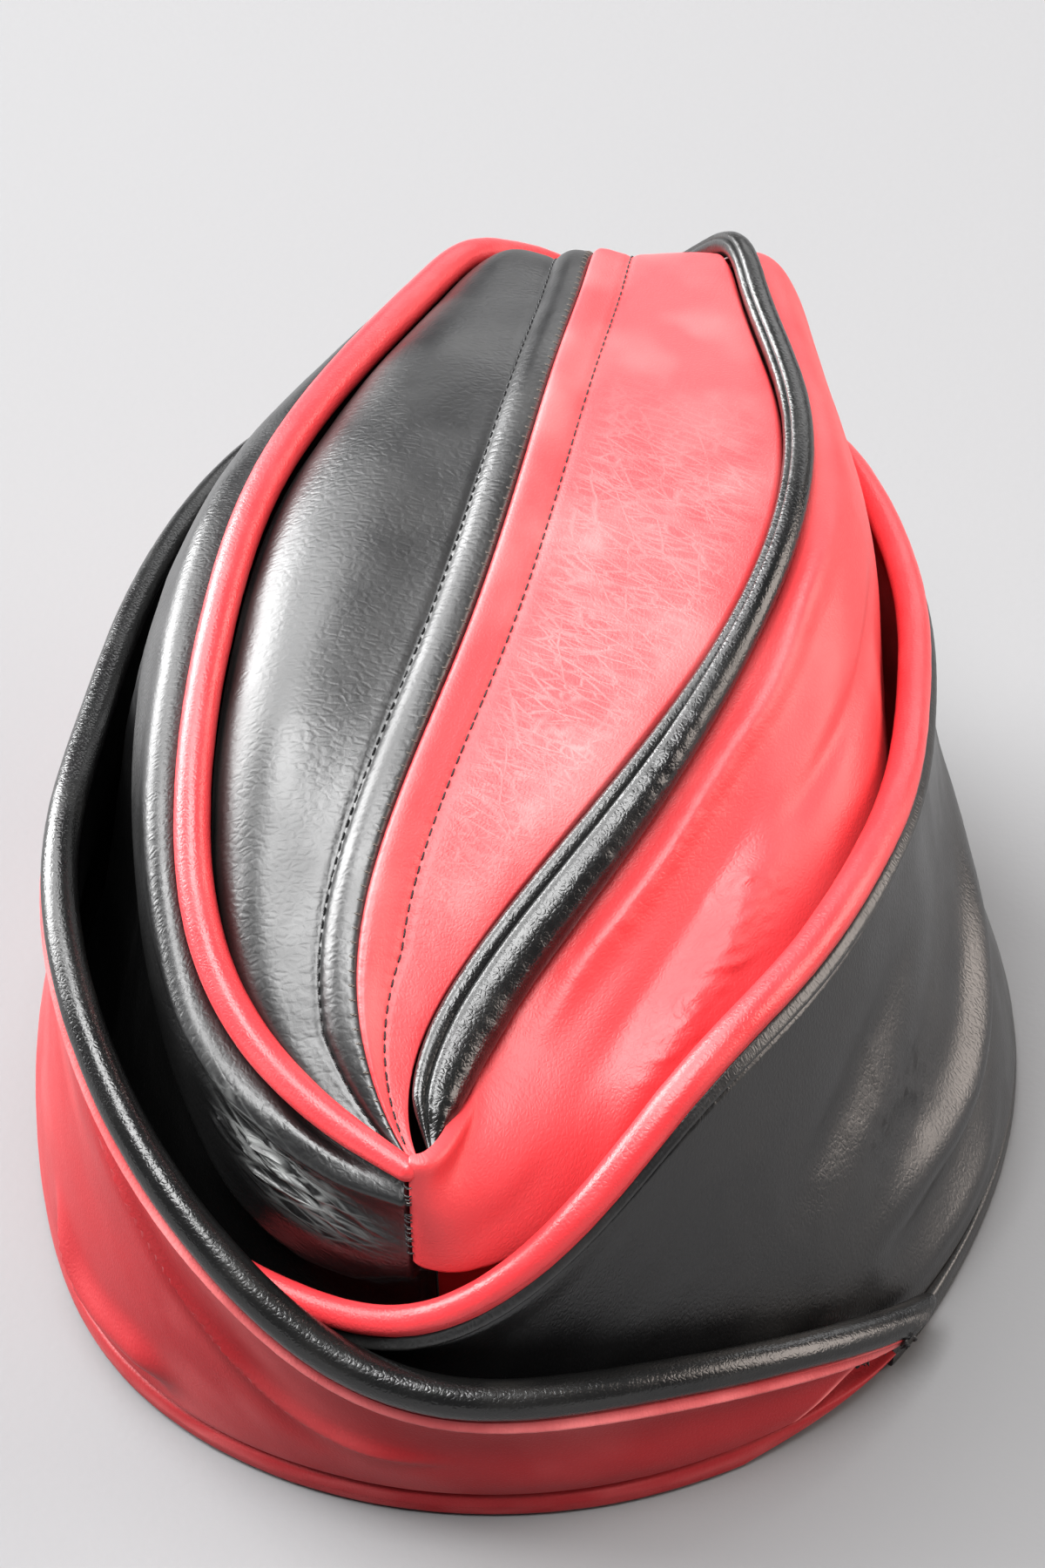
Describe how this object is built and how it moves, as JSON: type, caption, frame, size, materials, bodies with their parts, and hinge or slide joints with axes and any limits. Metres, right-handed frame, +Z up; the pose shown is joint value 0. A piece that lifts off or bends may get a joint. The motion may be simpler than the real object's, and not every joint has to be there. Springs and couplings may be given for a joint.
{
  "type": "leather garrison cap",
  "caption": "Boat-shaped leather cap in a two-colour harlequin pattern, with turn-ups crossing at the front, corded edges and a leaf-shaped sunken top.",
  "frame": {"origin": "middle of the cap's box, on the surface that the rim stands on", "axes": "+Z up; the front, where the turn-ups cross, faces -Y; +Y is the back of the head; +X is the red side of the crown"},
  "size_m": [0.1694, 0.2272, 0.1244],
  "materials": {
    "black_leather": "soft satin, fine pebbled grain",
    "red_leather": "soft satin, creased",
    "black_piping": "satin, rolled edge",
    "red_piping": "glossy, rolled edge"
  },
  "bodies": {
    "root": {"crown_top_left": "black_leather", "crown_top_right": "red_leather", "crown_side_left": "black_leather", "crown_side_right": "red_leather", "crest_piping_left": "red_piping", "crest_piping_right": "black_piping", "flap_left": "red_leather", "flap_left_facing": "black_leather", "flap_right": "black_leather", "flap_right_facing": "red_leather", "flap_piping_left": "black_piping", "flap_piping_right": "red_piping", "hem_left": "red_leather", "hem_right": "black_leather"}
  },
  "joints": []
}
